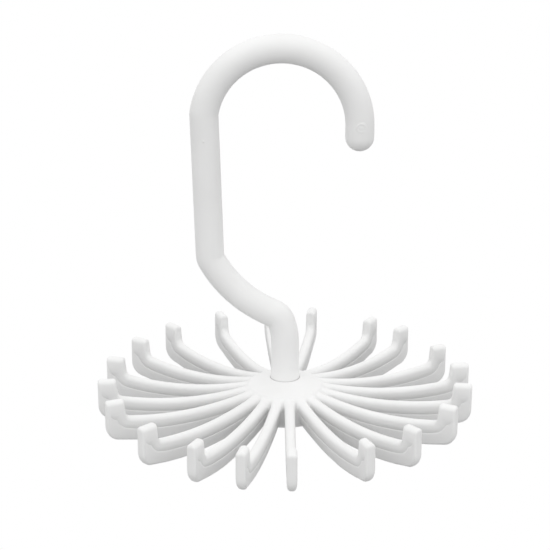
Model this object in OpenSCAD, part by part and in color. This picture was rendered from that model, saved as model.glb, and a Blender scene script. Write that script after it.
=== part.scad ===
/* [Rack] */
// Diameter across the tips of the arms
rack_d = 135; // [115:1:160]
// Number of arms
arm_count = 20; // [12:1:20]
// Bearing of the first arm, counted from +X
first_arm_angle = 6.2; // [0:0.1:18]
// Share of the arms' sideways warp that is modelled
warp = 1; // [0:0.05:1]
// Thickness of an arm from side to side
arm_w = 3.6; // [3:0.1:4]
// Depth of an arm from its round top edge to its underside
arm_h = 8.6; // [7:0.1:9]
// Radius of the hollow top edge of an arm, seen from the side
arm_sweep_r = 105; // [95:1:140]
// Distance from the axis to the lowest point of an arm
arm_low_r = 41; // [38:0.5:44]
// How much of the underside is flattened where an arm stands
foot_flat = 0.1; // [0.05:0.01:0.3]

/* [Arm tips] */
// Length of an upturned tip, measured outwards along the arm
tip_len = 6.6; // [5:0.1:9]
// How far the foot of a tip spreads towards the hub
tip_spread = 0.6; // [0:0.1:1.5]
// Height of the top of a tip over the feet
tip_top_z = 16.6; // [14.5:0.1:20]
// Radius of the outer heel under a tip
heel_r = 5; // [3:0.1:6.5]

/* [Hub] */
// Height of the top of the hub over the feet, where the stem stands
hub_top_z = 15.3; // [15.2:0.1:17]
// Height of the low cone that rises from the disc to the stem
cone_h = 2.7; // [1.5:0.1:2.8]
// Height of the rim under the hub over the feet
hub_rim_z = 1.6; // [1:0.1:2.5]
// Distance from the axis to the faces that carry the arms
hub_face_r = 14.6; // [14.5:0.1:16]
// Radius of the disc on top of the hub
disc_r = 12.9; // [11:0.1:13.2]
// Width of the bevel round the disc
disc_bevel = 1; // [0.2:0.1:1.1]
// Height of the disc over the roots of the arms
disc_step = 0.7; // [0.3:0.1:0.9]
// Thickness of the hub's top plate
plate_t = 3.2; // [2.5:0.1:4]
// Thickness of the hub's outer wall
hub_wall = 2.4; // [1.5:0.1:3]
// Wall of the boss round the swivel bore
boss_wall = 2.7; // [2:0.1:3]
// Height of the underside of the boss over the feet
boss_low_z = 5.4; // [5:0.1:7]

/* [Hook] */
// Diameter of the hook's round rod
rod_d = 10; // [8:0.1:10.4]
// Height of the straight stem over the hub
stem_h = 13.3; // [9:0.1:20]
// Radius of the slow bend above the stem, at the middle of the rod
stem_bend_r = 24; // [16:1:40]
// Turn of the slow bend above the stem
stem_bend_turn = 20; // [10:1:26]
// Radius of the tight elbow, at the middle of the rod
elbow_r = 5.3; // [5.25:0.05:10]
// Turn of the tight elbow
elbow_turn = 46.5; // [38:0.5:52]
// Radius of the long sweep from the elbow up to the upright
sweep_r = 44.8; // [36:0.2:52]
// Turn of the long sweep
sweep_turn = 38; // [30:0.5:44]
// Lean of the upright away from the axis
upright_lean = 1.6; // [0:0.1:4]
// Length of the straight upright
upright_len = 50; // [36:0.5:80]
// Radius of the knee under the upright, at the middle of the rod
knee_r = 6; // [5.25:0.05:16]
// Radius of the shoulder over the upright, at the middle of the rod
shoulder_r = 8; // [5.25:0.05:16]
// Radius of the arch that goes over the rail, at the middle of the rod
arch_r = 26.9; // [22:0.1:34]
// Angle at which the arch leans in from the top of the upright
arch_lean = 11; // [4:0.5:16]
// Length of the straight stretch after the arch
nose_len = 3.9; // [1:0.1:12]

/* [Swivel] */
// Radius of the bore through the hub
bore_r = 3.3; // [2.6:0.05:3.6]
// Clearance between the pin and the bore, on the radius
pin_clearance = 0.08; // [0.03:0.01:0.1]
// Depth of the shallow seat for the stem in the hub's top
seat_depth = 0.4; // [0.2:0.05:0.8]
// Clearance between the stem and the wall of its seat
seat_clearance = 0.35; // [0.3:0.05:0.6]
// Width of the hub's top round the seat
seat_lip = 0.3; // [0.2:0.05:0.8]
// End play of the hook in the hub, half over the boss and half under it
end_play = 0.4; // [0.2:0.05:0.8]
// Catch of the barbs under the boss, on the radius
barb_catch = 0.7; // [0.4:0.05:1]
// Height of the barbs
barb_h = 2.6; // [1.8:0.1:3]
// Width of the crossed slots that let the barbs spring
slot_w = 1.3; // [0.8:0.1:1.8]
// Length of the slots, from the end of the pin
slot_len = 8; // [5:0.1:9]

/* [Hidden] */
$fn = 96;
// Facets of the large circles that shape the arms
sweep_fn = 720;
plastic = [0.95, 0.95, 0.94];
// Each stretch of the rod stops this short of the balls at its ends
stretch_gap = 0.1;
// The balls stand this much proud of the rod, so that they cover its ends
ball_proud = 0.02;
// The heel's circle stands this much proud of the two faces that it joins, so that it crosses them
heel_proud = 0.02;
// Spare length of a cutter beyond what it cuts
spare = 1;
// Sideways warp of each arm at its tip, in degrees, counted round from the first arm
arm_warp = [0, -0.5, 2, -2.5, 2, -1, -1.5, 0, -1.5, -1.5, -1, -2.5, 1, 2, -1, -4.5, 0.5, -0.5, 1.5, 1.5];

pitch = 360 / arm_count;
tip_r = rack_d / 2;
tip_in_r = tip_r - tip_len;
tip_foot_r = tip_in_r - tip_spread;
tip_mid_r = tip_r - tip_len / 2;
round_r = arm_w / 2;
tip_round_z = tip_top_z - round_r;

// Curves of an arm's side: its top edge, the middle of that edge's rounding and its underside
sweep_z = arm_sweep_r + arm_h - foot_flat;
ridge_r = arm_sweep_r + round_r;
underside_r = arm_sweep_r + arm_h;

// The heel's arc runs into the underside's arc and the tip's outer face
heel_x = tip_r - heel_r;
heel_z = sweep_z - sqrt(pow(underside_r - heel_r, 2) - pow(heel_x - arm_low_r, 2));
heel_touch = [
    arm_low_r + (heel_x - arm_low_r) * underside_r / (underside_r - heel_r),
    sweep_z + (heel_z - sweep_z) * underside_r / (underside_r - heel_r),
];

rod_r = rod_d / 2;
knee_turn = stem_bend_turn + elbow_turn - sweep_turn - upright_lean;
disc_z = hub_top_z - cone_h;
root_top_z = disc_z - disc_step;
plate_low_z = disc_z - plate_t;
boss_r = bore_r + boss_wall;
pin_r = bore_r - pin_clearance;
seat_r = rod_r + seat_clearance;
seat_z = hub_top_z - seat_depth;
stem_low_z = seat_z + end_play / 2;
barb_top_z = boss_low_z - end_play / 2;
barb_low_z = barb_top_z - barb_h;
barb_r = bore_r + barb_catch;

function arm_name(i) = str("arm_", i < 10 ? "0" : "", i);

// Turn of an arm about its root that moves its tip w degrees round the axis
function root_turn(w) = w * tip_mid_r / (tip_mid_r - hub_face_r);

// Angle about the centre of the sweep at which a curve of radius r is x from the axis
function sweep_angle(r, x) = asin((x - arm_low_r) / r);

// Ball that joins one stretch of the rod to the next, or ends it
module joining_ball() {
    sphere(rod_r + ball_proud);
}

module straight(length) {
    translate([0, 0, stretch_gap]) cylinder(r = rod_r, h = length - 2 * stretch_gap);
    translate([0, 0, length]) {
        joining_ball();
        children();
    }
}

// A bend of the rod in the plane of the hook; a positive turn goes towards +X
module bend(r, turn) {
    side = sign(turn);
    gap_turn = asin(stretch_gap / r);
    translate([side * r, 0, 0]) {
        rotate([90, 0, 0])
            rotate([0, 0, side > 0 ? 180 - turn + gap_turn : gap_turn])
                rotate_extrude(angle = abs(turn) - 2 * gap_turn)
                    translate([r, 0]) circle(rod_r);
        rotate([0, turn, 0])
            translate([-side * r, 0, 0]) {
                joining_ball();
                children();
            }
    }
}

module hook_rod() {
    translate([0, 0, stem_low_z - stretch_gap])
        straight(hub_top_z + stem_h - stem_low_z + stretch_gap)
        bend(stem_bend_r, -stem_bend_turn)
        bend(elbow_r, -elbow_turn)
        bend(sweep_r, sweep_turn)
        bend(knee_r, knee_turn)
        straight(upright_len)
        bend(shoulder_r, upright_lean + arch_lean)
        bend(arch_r, 180 - arch_lean)
        straight(nose_len);
}

// Pin below the stem, slotted across both ways so that its barbs pass the bore
module snap_pin() {
    difference() {
        union() {
            translate([0, 0, barb_low_z])
                cylinder(r = pin_r, h = stem_low_z - barb_low_z + spare);
            translate([0, 0, barb_low_z])
                cylinder(r1 = pin_r, r2 = barb_r, h = barb_h);
        }
        for (a = [0, 90])
            rotate([0, 0, a])
                translate([-barb_r - spare, -slot_w / 2, barb_low_z - spare])
                    cube([2 * (barb_r + spare), slot_w, slot_len + spare]);
    }
}

module hook() {
    color(plastic) {
        hook_rod();
        snap_pin();
    }
}

// Prism with one flat face for each arm
module hub_prism(height) {
    corner_r = hub_face_r / cos(pitch / 2);
    linear_extrude(height)
        polygon([
            for (i = [0:arm_count - 1])
                let (a = first_arm_angle + (i + 0.5) * pitch)
                corner_r * [cos(a), sin(a)]
        ]);
}

// Round top of the hub: a bevelled disc and the cone that rises from it
module hub_crown() {
    rotate_extrude()
        polygon([
            [0, plate_low_z],
            [disc_r + disc_bevel, plate_low_z],
            [disc_r + disc_bevel, root_top_z],
            [disc_r, disc_z],
            [seat_r + seat_lip, hub_top_z],
            [0, hub_top_z],
        ]);
}

module rack_hub() {
    color(plastic)
        difference() {
            union() {
                difference() {
                    translate([0, 0, hub_rim_z]) hub_prism(root_top_z - hub_rim_z);
                    translate([0, 0, hub_rim_z - spare])
                        cylinder(r = hub_face_r - hub_wall, h = plate_low_z - hub_rim_z + spare);
                }
                hub_crown();
                translate([0, 0, boss_low_z])
                    cylinder(r = boss_r, h = disc_z - boss_low_z);
            }
            translate([0, 0, boss_low_z - spare])
                cylinder(r = bore_r, h = hub_top_z - boss_low_z + 2 * spare);
            translate([0, 0, seat_z])
                cylinder(r = seat_r, h = seat_depth + spare);
        }
}

module sweep_circle(r) {
    translate([arm_low_r, sweep_z]) circle(r, $fn = sweep_fn);
}

// Corner that the heel's arc leaves off, outside and below it
module heel_corner() {
    difference() {
        polygon([
            [heel_x, heel_z],
            heel_touch,
            [heel_touch[0], -spare],
            [tip_r + spare, -spare],
            [tip_r + spare, heel_z],
        ]);
        translate([heel_x, heel_z]) circle(heel_r + heel_proud);
    }
}

// Side of an arm without the rounding of its top edges, x outwards and y up
module arm_side() {
    difference() {
        intersection() {
            sweep_circle(underside_r);
            translate([hub_face_r - spare, 0])
                square([tip_r - hub_face_r + spare, tip_round_z]);
        }
        intersection() {
            sweep_circle(ridge_r);
            polygon([
                [0, 0],
                [tip_foot_r, 0],
                [tip_foot_r, sweep_z - ridge_r * cos(sweep_angle(ridge_r, tip_foot_r))],
                [tip_in_r, tip_round_z],
                [tip_in_r, tip_round_z + spare],
                [0, tip_round_z + spare],
            ]);
        }
        heel_corner();
    }
}

// Round top edge of an arm, from its root into its tip
module arm_ridge() {
    from = sweep_angle(ridge_r, hub_face_r - spare);
    to = sweep_angle(ridge_r, tip_mid_r);
    translate([arm_low_r, 0, sweep_z])
        rotate([90, 0, 0])
            rotate([0, 0, from - 90])
                rotate_extrude(angle = to - from)
                    translate([ridge_r, 0]) circle(round_r);
}

module straight_arm() {
    rotate([90, 0, 0])
        linear_extrude(arm_w, center = true) arm_side();
    arm_ridge();
    translate([tip_in_r, 0, tip_round_z])
        rotate([0, 90, 0]) cylinder(r = round_r, h = tip_len);
}

// An arm turned about its root by its warp, and cut flat where it meets the hub
module arm(i) {
    color(plastic)
        rotate([0, 0, first_arm_angle + (i - 1) * pitch])
            difference() {
                translate([hub_face_r, 0, 0])
                    rotate([0, 0, root_turn(warp * arm_warp[i - 1])])
                        translate([-hub_face_r, 0, 0]) straight_arm();
                translate([0, -arm_w, 0]) cube([hub_face_r, 2 * arm_w, tip_top_z]);
            }
}

hook();
rack_hub();
for (i = [1:arm_count]) arm(i);
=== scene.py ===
"""White moulded scarf hanger: a swivelling hook and a ring of twenty curved arms."""

import math

import bmesh
import bpy
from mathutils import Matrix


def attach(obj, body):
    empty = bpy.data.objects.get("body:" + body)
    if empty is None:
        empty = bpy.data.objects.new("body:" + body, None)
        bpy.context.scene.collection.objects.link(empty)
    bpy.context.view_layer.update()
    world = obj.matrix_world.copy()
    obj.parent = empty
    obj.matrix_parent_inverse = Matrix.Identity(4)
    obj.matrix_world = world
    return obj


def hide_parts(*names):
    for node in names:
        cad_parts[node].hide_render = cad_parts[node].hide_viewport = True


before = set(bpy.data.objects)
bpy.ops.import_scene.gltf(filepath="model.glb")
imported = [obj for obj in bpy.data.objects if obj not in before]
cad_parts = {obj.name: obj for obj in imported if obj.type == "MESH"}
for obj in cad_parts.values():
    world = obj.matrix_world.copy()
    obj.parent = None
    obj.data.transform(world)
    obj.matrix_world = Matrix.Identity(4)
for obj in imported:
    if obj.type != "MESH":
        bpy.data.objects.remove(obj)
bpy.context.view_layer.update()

# The mouldings are in millimetres until their meshes are made. The floor and the camera are in metres.
MM = 0.001

# Rack: x or radius outwards from the swivel's axis, z upwards from the feet of the arms
TIP_R = 67.5
ARM_COUNT = 20
FIRST_ARM_ANGLE = 6.2
HALF_W = 1.8
ARM_H = 8.6
ARM_SWEEP_R = 105.0
ARM_LOW_R = 41.0
FOOT_FLAT = 0.1
TIP_LEN = 6.6
# A tip is this much longer at its foot than at its top.
TIP_SPREAD = 0.35
TIP_TOP_Z = 16.95
HEEL_R = 5.0
CROOK_R = 2.1
# The hub's flat faces lie at the first radius, and the wall between two arms at the second.
HUB_FACE_R = 14.6
WALL_R = 14.85
# The curve of an arm is drawn from the first x to the second. Past that it turns up into the tip.
ROOT_X = 15.6
ARM_END_X = 57.5
# The underside hangs lower than its plain curve, from the first radius on and in full from the second.
BELLY = 0.5
BELLY_START_R = 20.0
BELLY_FULL_R = 50.0
# The arms came out of the mould a little uneven: their turn sideways in degrees, their rise at the tip, and
# how much shorter each tip is.
ARM_WARP = (0, 0, 2.7, -2, 2, -1, -1.5, 0, -1.5, -1.5, -1, -2.5, 1, 2, -1, -4.5, 0.5, -0.5, 1.5, 1.5)
ARM_RISE = (0.6, -0.2, -0.4, -0.6, -0.3, -0.2, -0.3, -0.4, -0.4, -0.4,
            -0.35, -0.35, -0.35, -0.3, -0.15, 0, 0.6, 0.9, 0.85, 0.6)
ARM_SHORT = (0, 1.45, 0.9, 0.5, 0.3, 0, 0, 0, 0, 0, 0, 0, 0, 0, 0, 0, 0.3, 0.4, 0.4, 0)
# The sideways turn begins this far behind the hub's face, and the root ends this far in front of it.
ROOT_BACK = 1.0
ROOT_LEN = 2.0
# Roundness of an arm's long edges
TOP_EDGE_R = 1.7
LOW_EDGE_R = 1.15
# The top of a tip is round across, and its two ends are rounded off too.
DOME_H = 1.7
TIP_END_R = 1.2
TIP_CORNER_R = 1.0

# Parting line of the mould along the sides of an arm. Its level is the share of the way down a side. Round
# the heel it swings up by the bend and ends lower by the shift.
PARTING_LEVEL = 0.4
PARTING_BEND = 0.07
PARTING_SHIFT = 0.06
# The line is a groove of this depth, and its upper flank takes this share of a side.
GROOVE = 0.13
GROOVE_EDGE = 0.02
# At the first station of a tip the line heads for the tip's outer face. From the second it runs along it.
PARTING_TURNS = 0.72
PARTING_OUT = 0.96
# Below the parting line the sides of an arm taper.
DRAFT = 0.55
DRAFT_POWER = 1.6
FIRST_LEVEL = 0.1
LOW_LEVELS = (0.035, 0.15, 0.36, 0.57, 0.78, 0.97)

# Hub
HUB_TOP_Z = 15.3
DISC_Z = 12.6
DISC_R = 12.9
HUB_RIM_Z = 1.6
PLATE_T = 3.2
POCKET_R = 12.2
BOSS_R = 6.0
BOSS_LOW_Z = 5.4
BORE_R = 3.3
SEAT_R = 5.35
SEAT_LIP = 0.3
SEAT_Z = 14.9
CONE_HOLLOW = 0.15
CONE_END = 0.2
# A round corner: how much of each side it takes, and how far in its middle lies. Bevels have no middle.
EDGE_ROUND = (0.3, 0.08)
INNER_ROUND = (0.5, 0.15)
BORE_BEVEL = (0.2, None)
SEAT_BEVEL = (0.1, None)
LIP_BEVEL = (0.08, None)
# Uneven corners, as the distances outwards and upwards from a corner to the points of its outline
WALL_FOOT = ((0.3, 0.3), (0.1, 0.08), (-0.1, 0.0))
NECK_EDGE = ((-0.1, 0.0), (0.1, -0.06))
DISC_EDGE = ((-0.3, 0.05), (0.05, -0.03), (0.3, -0.2), (0.6, -0.6))
# Shoulder over the root of an arm: how far it lies inside the hub's face and under the top of the disc. Over
# the round edges of the arm it sags by a share of what they sag.
SHOULDER_IN = 0.55
SHOULDER_DROP = 0.85
SHOULDER_SAG = 0.3

# Hook
ROD_R = 5.0
STEM_LOW_Z = 15.1
STEM_TOP_Z = 28.6
STEM_FOOT_R = 5.3
STEM_FOOT_H = 3.4
UPRIGHT_LEN = 50.0
NOSE_LEN = 3.9
# Flare at the foot of the stem, as pairs: how far inside its widest radius, how far over its face
STEM_FLARE = ((0.3, 0), (0.08, 0.08), (0, 0.3), (0.03, 0.9), (0.11, 1.6), (0.19, 2.4))
# Middle of the rod from its stem to its nose: the length of a straight, or a bend's radius and its degrees
HOOK_PATH = (
    ("straight", STEM_TOP_Z - STEM_LOW_Z),
    ("bend", 24.0, -20.0),
    ("bend", 5.3, -46.5),
    ("bend", 44.8, 38.0),
    ("bend", 6.0, 26.9),
    ("straight", UPRIGHT_LEN),
    ("bend", 8.0, 12.6),
    ("bend", 26.9, 169.0),
    ("straight", NOSE_LEN),
)

# Snap pin under the stem, split crosswise into four barbed prongs
PIN_R = 3.22
PIN_BEVEL = 0.2
BARB_R = 4.0
BARB_LOW_Z = 2.6
BARB_TOP_Z = 5.2
BARB_BEVEL = 0.12
# The slope of a barb ends this much outside the pin, above a bevel at the very end.
BARB_FOOT = 0.04
PRONG_BEVEL = 0.15
SLOT_TOP_Z = 10.6
SLOT_HALF = 0.65
# The prongs run this far up into the whole pin.
PRONG_LAP = 0.5

# Marks of the mould on the front of the rod: name, place in the front view, radius, height of the mark's
# ring and height of its middle
MARKS = (
    ("gate_mark", (25.7, 109.3), 2.2, 0.2, 0.1),
    ("nub", (-28.1, 104.6), 0.8, 0.05, 0.26),
    ("speck", (1.9, 20.0), 0.45, 0.03, 0.2),
)
# The back of a mark lies this deep in the rod.
MARK_DEPTH = 0.5
# Place and width of a mark's ring, and the width of its middle, as shares of its radius
RING_PLACE = 0.66
RING_W = 0.14
MIDDLE_W = 0.3
# The ring is uneven: the share of its height that it has all round, how much one side has more or less and
# where that is, and ripples that twist.
RING_MEAN = 0.5
RING_LEAN = 0.4
RING_LEAN_AT = 0.8
RIPPLE_H = 0.25
RIPPLES = 3
RIPPLE_TWIST = 4
# A mark starts a little proud of the rod, and its rim dips under the surface.
MARK_LIFT = 0.004
RIM_DIP = 0.03
RIM_POWER = 8

# Fineness of the meshes
ARM_STATIONS = 24
HEEL_STATIONS = 12
LEAD_STATIONS = 2
TIP_STATIONS = 4
DOME_TURNS = (0, 18, 36, 54, 70, 82, 90)
EDGE_STEPS = 4
EDGE_POINTS = 2 * (EDGE_STEPS + 2)
CONE_STEPS = 7
STRAIGHT_STEP = 5.0
BEND_STEP = 3.5
ROD_SIDES = 48
NOSE_STEPS = 9
PRONG_STEPS = 8
MARK_RINGS = 14
MARK_SPOKES = 36
# Points closer than this are welded, in metres.
WELD_DISTANCE = 1e-7

# Light: the sky is brightest a little in front of straight up.
SKY_AXIS = (0.0, -0.26, 0.966)
# Strength of the sky at its brightest and at the height of the object, and the power of its fall below that
SKY_TOP = 1.19
SKY_MIDDLE = 0.91
SKY_FALL = 3.0
WHITE = (1, 1, 1, 1)
FLOOR_PAINT = (0.42, 0.42, 0.42, 1)
BUMP_STRENGTH = 0.12
FLOOR_Z = -1.5
FLOOR_SIZE = 1.8

# Camera, matched to the photograph
CAMERA_PLACE = (-0.00362, -0.5632, 0.2612)
CAMERA_PITCH = 20.17
CLIP_START = 0.01
FOCAL_PIXELS = 1694.7
PHOTO_PIXELS = 550
SENSOR_MM = 36.0

# Side view of an arm, worked out from the sizes above
SWEEP_Z = ARM_SWEEP_R + ARM_H - FOOT_FLAT
UNDERSIDE_R = ARM_SWEEP_R + ARM_H
TIP_IN_R = TIP_R - TIP_LEN
TIP_FOOT_R = TIP_IN_R - TIP_SPREAD
SIDE_Z = TIP_TOP_Z - DOME_H


class Surface:
    """Points and faces of a moulding while it is made, in millimetres."""

    def __init__(self):
        self.points = []
        self.faces = []

    def add(self, points):
        """Adds points and returns their numbers."""
        start = len(self.points)
        self.points.extend(points)
        return list(range(start, len(self.points)))

    def strip(self, a, b):
        """Joins two rows of as many points."""
        for k in range(len(a) - 1):
            self.faces.append((a[k], a[k + 1], b[k + 1], b[k]))

    def tube(self, rings):
        """Adds closed rings of points and joins each to the next. Returns the numbers in each ring."""
        rows = [self.add(ring) for ring in rings]
        for a, b in zip(rows, rows[1:]):
            self.strip(a + a[:1], b + b[:1])
        return rows

    def fan(self, ring, tip):
        """Closes a ring with a point."""
        for a, b in zip(ring, ring[1:] + ring[:1]):
            self.faces.append((a, b, tip))

    def cap(self, ring):
        """Closes a ring with one face."""
        self.faces.append(tuple(ring))

    def finish(self, name):
        """Makes the smooth-shaded object, with its seams welded and its faces turned outwards."""
        mesh = bpy.data.meshes.new(name)
        mesh.from_pydata([tuple(c * MM for c in point) for point in self.points], [], self.faces)
        bm = bmesh.new()
        bm.from_mesh(mesh)
        bmesh.ops.remove_doubles(bm, verts=bm.verts, dist=WELD_DISTANCE)
        bmesh.ops.recalc_face_normals(bm, faces=bm.faces)
        bm.to_mesh(mesh)
        bm.free()
        mesh.shade_smooth()
        obj = bpy.data.objects.new(name, mesh)
        bpy.context.scene.collection.objects.link(obj)
        return obj


def smooth_step(low, high, x):
    """Rises from 0 at low to 1 at high with a smooth start and end."""
    t = min(max((x - low) / (high - low), 0.0), 1.0)
    return t * t * (3 - 2 * t)


def turned(x, y, angle):
    """A point turned about the origin, by an angle in radians."""
    return x * math.cos(angle) - y * math.sin(angle), x * math.sin(angle) + y * math.cos(angle)


def arc_z(radius, x):
    """Height of a curve of that radius about the centre of the arm's sweep."""
    return SWEEP_Z - math.sqrt(radius ** 2 - (x - ARM_LOW_R) ** 2)


def upturn(face_r, radius, sweep_r, steps):
    """Points on the arc that turns a curve of the sweep up into an upright face at face_r."""
    x = face_r - radius
    z = arc_z(sweep_r - radius, x)
    slope = math.asin((x - ARM_LOW_R) / (sweep_r - radius))
    points = []
    for k in range(steps + 1):
        a = (slope - math.pi / 2) * (1 - k / steps)
        points.append((x + radius * math.cos(a), z + radius * math.sin(a)))
    return points


def line_points(a, b, steps):
    """Points after a, up to and with b."""
    shares = [k / steps for k in range(1, steps + 1)]
    return [(a[0] + (b[0] - a[0]) * t, a[1] + (b[1] - a[1]) * t) for t in shares]


def arm_stations():
    """Points along the upper and inner edge of an arm, and those across from them on the other edge."""
    upper, lower = [], []
    for k in range(ARM_STATIONS + 1):
        x = ROOT_X + (ARM_END_X - ROOT_X) * k / ARM_STATIONS
        upper.append((x, arc_z(ARM_SWEEP_R, x)))
        lower.append((x, max(arc_z(UNDERSIDE_R, x), 0.0)))
    heel = upturn(TIP_R, HEEL_R, UNDERSIDE_R, HEEL_STATIONS - LEAD_STATIONS - 1)
    upper += upturn(TIP_FOOT_R, CROOK_R, ARM_SWEEP_R, HEEL_STATIONS - 1)
    lower += line_points(lower[-1], heel[0], LEAD_STATIONS + 1)[:-1] + heel
    upper += line_points(upper[-1], (TIP_IN_R, SIDE_Z), TIP_STATIONS)
    lower += line_points(lower[-1], (TIP_R, SIDE_Z), TIP_STATIONS)
    heel_top = heel[-1][1]
    hung = []
    for x, z in lower:
        hung.append((x, z - BELLY * smooth_step(BELLY_START_R, BELLY_FULL_R, x) * max(1 - z / heel_top, 0)))
    return upper, hung


def edge_row(radius, half):
    """Points across an edge from side to side, as (depth below the edge, y)."""
    flat = half - radius
    row = []
    for k in range(EDGE_STEPS + 1):
        a = math.pi / 2 * k / EDGE_STEPS
        row.append((radius * (1 - math.sin(a)), -flat - radius * math.cos(a)))
    row.append((0.0, -flat / 3))
    return row + [(depth, -y) for depth, y in reversed(row)]


def side_levels(station):
    """Levels down a side with the half width at each, and the half width at the lower edge."""
    tip_station = station - ARM_STATIONS - HEEL_STATIONS
    round_heel = min(max(station - ARM_STATIONS, 0) / HEEL_STATIONS, 1)
    parting = PARTING_LEVEL - PARTING_BEND * math.sin(math.pi * round_heel) + PARTING_SHIFT * round_heel
    taper = DRAFT * (1 - smooth_step(0, 1, round_heel))
    groove = GROOVE
    if tip_station == 1:
        parting = PARTING_TURNS
    elif tip_station > 1:
        parting = PARTING_OUT
        groove = GROOVE / 3 if tip_station == 2 else 0.0
    levels = [(FIRST_LEVEL, HALF_W), (parting - GROOVE_EDGE, HALF_W), (parting, HALF_W - groove)]
    for low in LOW_LEVELS:
        levels.append((parting + (1 - parting) * low, HALF_W - taper * low ** DRAFT_POWER))
    return levels, HALF_W - taper


def arm_loop(station, upper, lower):
    """Loop round an arm at a station, as its upper, right, lower and left rows of points."""
    span = math.dist(upper, lower)
    along = ((lower[0] - upper[0]) / span, (lower[1] - upper[1]) / span)
    into_tip = smooth_step(ARM_STATIONS - 1, ARM_STATIONS + HEEL_STATIONS, station)
    upper_r = TOP_EDGE_R + (TIP_CORNER_R - TOP_EDGE_R) * into_tip
    lower_r = LOW_EDGE_R + (TIP_CORNER_R - LOW_EDGE_R) * into_tip
    levels, lower_half = side_levels(station)
    depths = [(upper_r + (span - upper_r - lower_r) * level, half) for level, half in levels]

    def place(depth, y):
        return (upper[0] + along[0] * depth, y, upper[1] + along[1] * depth)

    upper_row = [place(depth, y) for depth, y in edge_row(upper_r, HALF_W)]
    lower_row = [place(span - depth, y) for depth, y in edge_row(lower_r, lower_half)]
    right = [place(depth, half) for depth, half in depths]
    left = [place(depth, -half) for depth, half in depths]
    return upper_row, right, lower_row, left


def tip_loop(turn):
    """Loop round the top of a tip, as rows like those of an arm. At 90 degrees it closes to the ridge."""
    a = math.radians(turn)
    half = HALF_W * math.cos(a)
    rise = DOME_H * math.sin(a)
    radius = TIP_CORNER_R * math.cos(a)
    over = max(rise - (DOME_H - TIP_END_R), 0.0)
    inset = TIP_END_R - math.sqrt(TIP_END_R ** 2 - over ** 2)
    start, end = TIP_IN_R + inset, TIP_R - inset
    z = SIDE_Z + rise
    edge = edge_row(radius, half)
    levels = side_levels(ARM_STATIONS + HEEL_STATIONS + TIP_STATIONS)[0]
    places = [start + radius + (end - start - 2 * radius) * level[0] for level in levels]
    inner_row = [(start + depth, y, z) for depth, y in edge]
    outer_row = [(end - depth, y, z) for depth, y in edge]
    return inner_row, [(x, half, z) for x in places], outer_row, [(x, -half, z) for x in places]


def arm_loops():
    """Loops round an arm from its root to the ridge of its tip. y lies across the arm."""
    pairs = list(zip(*arm_stations()))[:-1]
    loops = [arm_loop(station, upper, lower) for station, (upper, lower) in enumerate(pairs)]
    return loops + [tip_loop(turn) for turn in DOME_TURNS]


def around(loop):
    """The four rows of a loop as one closed row."""
    upper, right, lower, left = loop
    return upper + right + lower[::-1] + left[::-1] + upper[:1]


def arm_bearing(arm):
    """Direction of an arm round the axis, in radians."""
    return math.radians(FIRST_ARM_ANGLE + 360 / ARM_COUNT * arm)


def root_turn(warp):
    """Turn at the root of an arm that moves the middle of its tip round the axis by warp, in radians."""
    middle = TIP_R - TIP_LEN / 2
    return math.radians(warp * middle / (middle - HUB_FACE_R))


def place_arm(point, arm):
    """A point of an arm with the arm's own bend, turned about the arm's root and then round the axis."""
    x, y, z = point
    root_end = HUB_FACE_R + ROOT_LEN
    z += ARM_RISE[arm] * max(x - root_end, 0) / (TIP_R - root_end)
    x -= ARM_SHORT[arm] * max(x - ARM_END_X, 0) / (TIP_R - ARM_END_X)
    sideways = root_turn(ARM_WARP[arm]) * smooth_step(HUB_FACE_R - ROOT_BACK, root_end, x)
    x, y = turned(x - HUB_FACE_R, y, sideways)
    x, y = turned(x + HUB_FACE_R, y, arm_bearing(arm))
    return (x, y, z)


OUT, IN, UP, DOWN = (1, 0), (-1, 0), (0, 1), (0, -1)


def beside(corner, offsets):
    """Points of the hub's outline beside one of its corners."""
    return [(corner[0] + outwards, corner[1] + upwards) for outwards, upwards in offsets]


def eased(corner, first, last, sizes):
    """Points that round or bevel a corner between its side in the first direction and that in the last."""
    length, inset = sizes
    offsets = [(length * first[0], length * first[1]), (length * last[0], length * last[1])]
    if inset:
        offsets.insert(1, (inset * (first[0] + last[0]), inset * (first[1] + last[1])))
    return beside(corner, offsets)


def cone_points(start, end):
    """Slightly hollow slope between two points of the hub's outline."""
    points = []
    for k in range(1, CONE_STEPS):
        t = k / CONE_STEPS
        hollow = CONE_HOLLOW * 4 * t * (1 - t)
        points.append((start[0] + (end[0] - start[0]) * t, start[1] + (end[1] - start[1]) * t - hollow))
    return points


def hub_profile():
    """Outline of the hub's section, from the wall under the arms round to the edge of the disc."""
    plate_z = DISC_Z - PLATE_T
    neck = beside((SEAT_R + SEAT_LIP, HUB_TOP_Z), NECK_EDGE)
    return [
        *beside((HUB_FACE_R, HUB_RIM_Z), WALL_FOOT),
        *eased((POCKET_R, HUB_RIM_Z), OUT, UP, EDGE_ROUND),
        *eased((POCKET_R, plate_z), DOWN, IN, INNER_ROUND),
        *eased((BOSS_R, plate_z), OUT, DOWN, INNER_ROUND),
        *eased((BOSS_R, BOSS_LOW_Z), UP, IN, EDGE_ROUND),
        *eased((BORE_R, BOSS_LOW_Z), OUT, UP, BORE_BEVEL),
        *eased((BORE_R, SEAT_Z), DOWN, OUT, SEAT_BEVEL),
        *eased((SEAT_R, SEAT_Z), IN, UP, SEAT_BEVEL),
        *eased((SEAT_R, HUB_TOP_Z), DOWN, OUT, LIP_BEVEL),
        *neck,
        *cone_points(neck[-1], (DISC_R - CONE_END, DISC_Z)),
        *beside((DISC_R, DISC_Z), DISC_EDGE),
    ]


def add_arm(surface, loops, arm):
    """Adds an arm and returns the four rows of points at its root."""
    rings = []
    for loop in loops:
        rings.append([surface.add([place_arm(point, arm) for point in row]) for row in loop])
    for a, b in zip(rings, rings[1:]):
        surface.strip(around(a), around(b))
    return rings[0]


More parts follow.
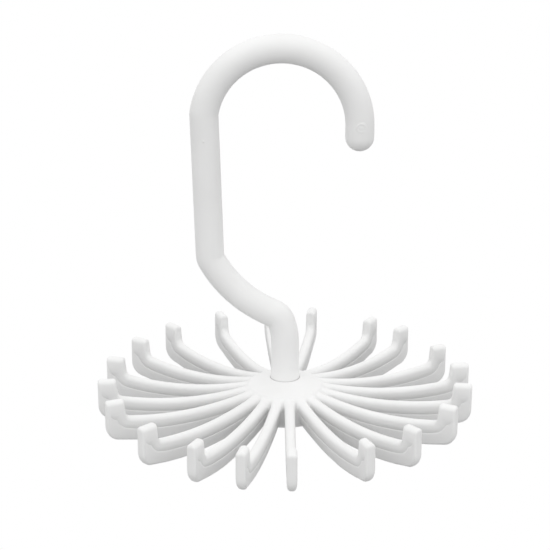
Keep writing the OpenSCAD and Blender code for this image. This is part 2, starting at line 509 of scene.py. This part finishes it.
def add_hub_sector(surface, root_loop, root, arm):
    """Adds the sector of the hub that carries an arm, and joins it to the arm's root."""
    pitch = 2 * math.pi / ARM_COUNT
    angles = [arm_bearing(arm) + pitch * (k / (EDGE_POINTS - 1) - 0.5) for k in range(EDGE_POINTS)]

    def arc(radius, heights):
        points = [(radius * math.cos(a), radius * math.sin(a), z) for a, z in zip(angles, heights)]
        return surface.add(points)

    body = [arc(r, [z] * EDGE_POINTS) for r, z in hub_profile()]
    for a, b in zip(body, body[1:]):
        surface.strip(a, b)
    heights = [point[2] for point in root_loop[0]]
    sags = [heights[EDGE_POINTS // 2] - z for z in heights]
    shoulder = arc(HUB_FACE_R - SHOULDER_IN, [DISC_Z - SHOULDER_DROP - SHOULDER_SAG * sag for sag in sags])
    surface.strip(body[-1], shoulder)

    upper, right, lower, left = root
    surface.strip(shoulder, upper)
    surface.strip(body[0], lower)
    for side, chain in ((0, left), (-1, right)):
        a = angles[side]
        levels = [surface.points[number][2] for number in chain]
        wall = surface.add([(WALL_R * math.cos(a), WALL_R * math.sin(a), z) for z in levels])
        surface.strip([upper[side]] + chain + [lower[side]], [shoulder[side]] + wall + [body[0][side]])


def build_rack():
    """Hub and arms as one moulding, sector by sector."""
    surface = Surface()
    loops = arm_loops()
    for arm in range(ARM_COUNT):
        root = add_arm(surface, loops, arm)
        add_hub_sector(surface, loops[0], root, arm)
    return surface.finish("rack_moulding")


def straight_points(start, length):
    """Points after start on a straight stretch of the rod's middle, each with its heading."""
    x, z, heading = start
    steps = max(1, round(length / STRAIGHT_STEP))
    a = math.radians(heading)
    runs = [length * k / steps for k in range(1, steps + 1)]
    return [(x + run * math.sin(a), z + run * math.cos(a), heading) for run in runs]


def bend_points(start, radius, turn):
    """Points after start on a bend of the rod's middle, each with its heading."""
    x, z, heading = start
    steps = max(1, round(abs(turn) / BEND_STEP))
    a = math.radians(heading)
    side = math.copysign(radius, turn)
    centre = (x + side * math.cos(a), z - side * math.sin(a))
    points = []
    for k in range(1, steps + 1):
        now = heading + turn * k / steps
        a = math.radians(now)
        points.append((centre[0] - side * math.cos(a), centre[1] + side * math.sin(a), now))
    return points


def hook_centres():
    """Points along the middle of the rod as (x, z, heading), with the heading in degrees from +z to +x."""
    points = [(0.0, STEM_LOW_Z, 0.0)]
    for kind, *sizes in HOOK_PATH:
        stretch = straight_points if kind == "straight" else bend_points
        points += stretch(points[-1], *sizes)
    return points


def rod_ring(x, z, heading, radius):
    """Circle of points round (x, z), square to the heading."""
    a = math.radians(heading)
    ring = []
    for k in range(ROD_SIDES):
        b = 2 * math.pi * k / ROD_SIDES
        across = radius * math.cos(b)
        ring.append((x + across * math.cos(a), radius * math.sin(b), z - across * math.sin(a)))
    return ring


def prong(quadrant):
    """One barbed prong of the snap pin, as rings of points from its top down to its end."""
    levels = [
        (SLOT_TOP_Z + PRONG_LAP, PIN_R),
        (BARB_TOP_Z, PIN_R),
        (BARB_TOP_Z, BARB_R - BARB_BEVEL),
        (BARB_TOP_Z - BARB_BEVEL, BARB_R),
        (BARB_LOW_Z + PRONG_BEVEL, PIN_R + BARB_FOOT),
        (BARB_LOW_Z, PIN_R - PRONG_BEVEL),
    ]
    rings = []
    for z, radius in levels:
        start = math.asin(SLOT_HALF / radius)
        section = [(SLOT_HALF, SLOT_HALF)]
        for k in range(PRONG_STEPS + 1):
            a = start + (math.pi / 2 - 2 * start) * k / PRONG_STEPS
            section.append((radius * math.cos(a), radius * math.sin(a)))
        rings.append([(*turned(x, y, math.pi / 2 * quadrant), z) for x, y in section])
    return rings


def build_hook():
    """Swept rod with its round nose, and the flared foot and split pin under its stem."""
    base = [(PIN_R - PIN_BEVEL, SLOT_TOP_Z), (PIN_R, SLOT_TOP_Z + PIN_BEVEL), (PIN_R, STEM_LOW_Z)]
    base += [(STEM_FOOT_R - inset, STEM_LOW_Z + rise) for inset, rise in STEM_FLARE]
    base.append((ROD_R, STEM_LOW_Z + STEM_FOOT_H))
    rings = [rod_ring(0, z, 0, radius) for radius, z in base]
    centres = hook_centres()
    rings += [rod_ring(x, z, heading, ROD_R) for x, z, heading in centres[1:]]
    x, z, heading = centres[-1]
    ahead = (math.sin(math.radians(heading)), math.cos(math.radians(heading)))
    for k in range(1, NOSE_STEPS):
        a = math.pi / 2 * k / NOSE_STEPS
        reach = ROD_R * math.sin(a)
        rings.append(rod_ring(x + ahead[0] * reach, z + ahead[1] * reach, heading, ROD_R * math.cos(a)))

    surface = Surface()
    rod = surface.tube(rings)
    nose = surface.add([(x + ahead[0] * ROD_R, 0, z + ahead[1] * ROD_R)])
    surface.fan(rod[-1], nose[0])
    surface.cap(rod[0][::-1])
    for quadrant in range(4):
        rows = surface.tube(prong(quadrant))
        surface.cap(rows[0])
        surface.cap(rows[-1][::-1])
    return surface.finish("hook_moulding")


def mark_height(r, angle, ring_h, middle_h):
    """Height of a mark over the rod: an uneven ring with a bump inside it. r is a share of its radius."""
    ripple = RIPPLE_H * math.sin(RIPPLES * angle + RIPPLE_TWIST * r)
    uneven = RING_MEAN + RING_LEAN * math.sin(angle - RING_LEAN_AT) + ripple
    ring = ring_h * uneven * math.exp(-((r - RING_PLACE) / RING_W) ** 2)
    middle = middle_h * math.exp(-(r / MIDDLE_W) ** 2)
    return ring + middle + MARK_LIFT - RIM_DIP * r ** RIM_POWER


def build_mark(name, place, size, ring_h, middle_h):
    """Small closed piece of relief, sunk into the front of the rod."""
    x, z, heading = min(hook_centres(), key=lambda point: math.dist(point[:2], place))
    a = math.radians(heading)
    along, across = (math.sin(a), math.cos(a)), (math.cos(a), -math.sin(a))
    off = (place[0] - x, place[1] - z)
    shift_along = off[0] * along[0] + off[1] * along[1]
    shift_across = off[0] * across[0] + off[1] * across[1]

    def point(r, angle, sink):
        p = shift_along + size * r * math.cos(angle)
        q = shift_across + size * r * math.sin(angle)
        front = math.sqrt(ROD_R ** 2 - q ** 2) + mark_height(r, angle, ring_h, middle_h) - sink
        return (x + p * along[0] + q * across[0], -front, z + p * along[1] + q * across[1])

    angles = [2 * math.pi * k / MARK_SPOKES for k in range(MARK_SPOKES)]
    rings = [(k / MARK_RINGS, 0.0) for k in range(1, MARK_RINGS + 1)] + [(1.0, MARK_DEPTH)]
    surface = Surface()
    middle = surface.add([point(0.0, 0.0, 0.0)])
    rows = surface.tube([[point(r, angle, sink) for angle in angles] for r, sink in rings])
    surface.fan(rows[0][::-1], middle[0])
    surface.cap(rows[-1])
    return surface.finish(name)


def empty_tree(owner):
    """Node tree of a material or a world, with nothing in it."""
    owner.use_nodes = True
    owner.node_tree.nodes.clear()
    return owner.node_tree


def node(tree, kind, x, y, **values):
    """A shader node at a place in the tree, with its properties set."""
    made = tree.nodes.new(kind)
    made.location = (x, y)
    for key, value in values.items():
        setattr(made, key, value)
    return made


def noise(tree, shift, y, scale, detail):
    """Noise of that scale over the shifted coordinates of the object."""
    made = node(tree, "ShaderNodeTexNoise", -760, y)
    made.inputs["Scale"].default_value = scale
    made.inputs["Detail"].default_value = detail
    tree.links.new(shift.outputs["Vector"], made.inputs["Vector"])
    return made


def bump(tree, relief, x, y, distance):
    """Faint bump of that depth in metres, from a noise."""
    made = node(tree, "ShaderNodeBump", x, y)
    made.inputs["Strength"].default_value = BUMP_STRENGTH
    made.inputs["Distance"].default_value = distance
    tree.links.new(relief.outputs["Fac"], made.inputs["Height"])
    return made


def plastic(name, seed):
    """Satin white polypropylene: faint mottling, uneven gloss, and a fine skin over soft waves."""
    material = bpy.data.materials.new(name)
    tree = empty_tree(material)
    link = tree.links.new
    out = node(tree, "ShaderNodeOutputMaterial", 900, 0)
    shader = node(tree, "ShaderNodeBsdfPrincipled", 600, 0)
    shader.inputs["IOR"].default_value = 1.49
    shader.inputs["Specular IOR Level"].default_value = 0.3
    link(shader.outputs["BSDF"], out.inputs["Surface"])
    coords = node(tree, "ShaderNodeTexCoord", -1200, 0)
    shift = node(tree, "ShaderNodeMapping", -1000, 0)
    shift.inputs["Location"].default_value = (seed, seed * 0.7, seed * 0.3)
    link(coords.outputs["Object"], shift.inputs["Vector"])

    mottle = noise(tree, shift, 260, scale=55.0, detail=4.0)
    colour = node(tree, "ShaderNodeValToRGB", -400, 260)
    darker, lighter = colour.color_ramp.elements
    darker.position = 0.3
    darker.color = (0.865, 0.865, 0.86, 1)
    lighter.position = 0.7
    lighter.color = (0.9, 0.9, 0.897, 1)
    link(mottle.outputs["Fac"], colour.inputs["Fac"])
    link(colour.outputs["Color"], shader.inputs["Base Color"])

    gloss = noise(tree, shift, 0, scale=160.0, detail=6.0)
    rough = node(tree, "ShaderNodeMapRange", -400, 0)
    rough.inputs["To Min"].default_value = 0.4
    rough.inputs["To Max"].default_value = 0.56
    link(gloss.outputs["Fac"], rough.inputs["Value"])
    link(rough.outputs["Result"], shader.inputs["Roughness"])

    skin = noise(tree, shift, -260, scale=900.0, detail=3.0)
    waves = noise(tree, shift, -500, scale=120.0, detail=1.0)
    fine = bump(tree, skin, -200, -260, distance=0.0001)
    broad = bump(tree, waves, 100, -400, distance=0.0006)
    link(fine.outputs["Normal"], broad.inputs["Normal"])
    link(broad.outputs["Normal"], shader.inputs["Normal"])
    return material


def seen_directly(tree):
    """Socket that is 1 for camera, mirror and glass rays and 0 for light that bounces."""
    link = tree.links.new
    path = node(tree, "ShaderNodeLightPath", -300, -80)
    mirror = node(tree, "ShaderNodeMath", -100, -80, operation="MAXIMUM")
    link(path.outputs["Is Camera Ray"], mirror.inputs[0])
    link(path.outputs["Is Glossy Ray"], mirror.inputs[1])
    clear = node(tree, "ShaderNodeMath", 60, -80, operation="MAXIMUM")
    link(mirror.outputs["Value"], clear.inputs[0])
    link(path.outputs["Is Transmission Ray"], clear.inputs[1])
    return clear.outputs["Value"]


def backdrop_material():
    """Pale floor that shows white to the camera and still takes the object's shadow."""
    material = bpy.data.materials.new("pale_floor")
    tree = empty_tree(material)
    link = tree.links.new
    out = node(tree, "ShaderNodeOutputMaterial", 700, 0)
    total = node(tree, "ShaderNodeAddShader", 500, 0)
    paint = node(tree, "ShaderNodeBsdfDiffuse", 250, 120)
    paint.inputs["Color"].default_value = FLOOR_PAINT
    glow = node(tree, "ShaderNodeEmission", 250, -80)
    link(seen_directly(tree), glow.inputs["Strength"])
    link(paint.outputs["BSDF"], total.inputs[0])
    link(glow.outputs["Emission"], total.inputs[1])
    link(total.outputs["Shader"], out.inputs["Surface"])
    return material


def build_floor():
    """Square floor far below the hanging object."""
    half = FLOOR_SIZE / 2
    corners = [(-half, -half), (half, -half), (half, half), (-half, half)]
    mesh = bpy.data.meshes.new("floor")
    mesh.from_pydata([(x, y, FLOOR_Z) for x, y in corners], [], [(0, 1, 2, 3)])
    floor = bpy.data.objects.new("floor", mesh)
    bpy.context.scene.collection.objects.link(floor)
    mesh.materials.append(backdrop_material())


def build_world():
    """Sky that is brighter overhead, and shows plain white to the camera."""
    world = bpy.data.worlds.new("studio")
    bpy.context.scene.world = world
    tree = empty_tree(world)
    link = tree.links.new
    out = node(tree, "ShaderNodeOutputWorld", 800, 0)
    background = node(tree, "ShaderNodeBackground", 600, 0)
    background.inputs["Color"].default_value = WHITE
    direction = node(tree, "ShaderNodeTexCoord", -400, 200)
    height = node(tree, "ShaderNodeVectorMath", -200, 200, operation="DOT_PRODUCT")
    height.inputs[1].default_value = SKY_AXIS
    link(direction.outputs["Generated"], height.inputs[0])
    upper = node(tree, "ShaderNodeMapRange", 0, 300)
    upper.inputs["To Max"].default_value = SKY_TOP - SKY_MIDDLE
    link(height.outputs["Value"], upper.inputs["Value"])
    lower = node(tree, "ShaderNodeMapRange", 0, 40)
    lower.inputs["From Min"].default_value = -1.0
    lower.inputs["From Max"].default_value = 0.0
    link(height.outputs["Value"], lower.inputs["Value"])
    fall = node(tree, "ShaderNodeMath", 200, 40, operation="POWER")
    fall.inputs[1].default_value = SKY_FALL
    link(lower.outputs["Result"], fall.inputs[0])
    sky = node(tree, "ShaderNodeMath", 200, 200, operation="MULTIPLY_ADD")
    sky.inputs[1].default_value = SKY_MIDDLE
    link(fall.outputs["Value"], sky.inputs[0])
    link(upper.outputs["Result"], sky.inputs[2])
    # The mix of two numbers has its factor at input 0 and the numbers at inputs 2 and 3.
    strength = node(tree, "ShaderNodeMix", 400, 0)
    strength.inputs[3].default_value = 1.0
    link(seen_directly(tree), strength.inputs[0])
    link(sky.outputs["Value"], strength.inputs[2])
    link(strength.outputs[0], background.inputs["Strength"])
    link(background.outputs["Background"], out.inputs["Surface"])


def build_camera():
    """Camera at the photograph's viewing angle."""
    camera = bpy.data.cameras.new("camera")
    camera.sensor_width = SENSOR_MM
    camera.lens = FOCAL_PIXELS / PHOTO_PIXELS * SENSOR_MM
    camera.clip_start = CLIP_START
    obj = bpy.data.objects.new("camera", camera)
    obj.location = CAMERA_PLACE
    obj.rotation_euler = (math.radians(90 - CAMERA_PITCH), 0, 0)
    bpy.context.scene.collection.objects.link(obj)
    bpy.context.scene.camera = obj


build_camera()
build_world()
build_floor()
bpy.context.scene.view_settings.view_transform = "Standard"

rack = build_rack()
rack.data.materials.append(plastic("rack_plastic", 3.1))
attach(rack, "rack")
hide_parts("rack_hub", *["arm_%02d" % k for k in range(1, ARM_COUNT + 1)])

hook = build_hook()
hook_plastic = plastic("hook_plastic", 8.4)
hook.data.materials.append(hook_plastic)
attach(hook, "hook")
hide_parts("hook")
for mark in MARKS:
    patch = build_mark(*mark)
    patch.data.materials.append(hook_plastic)
    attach(patch, "hook")
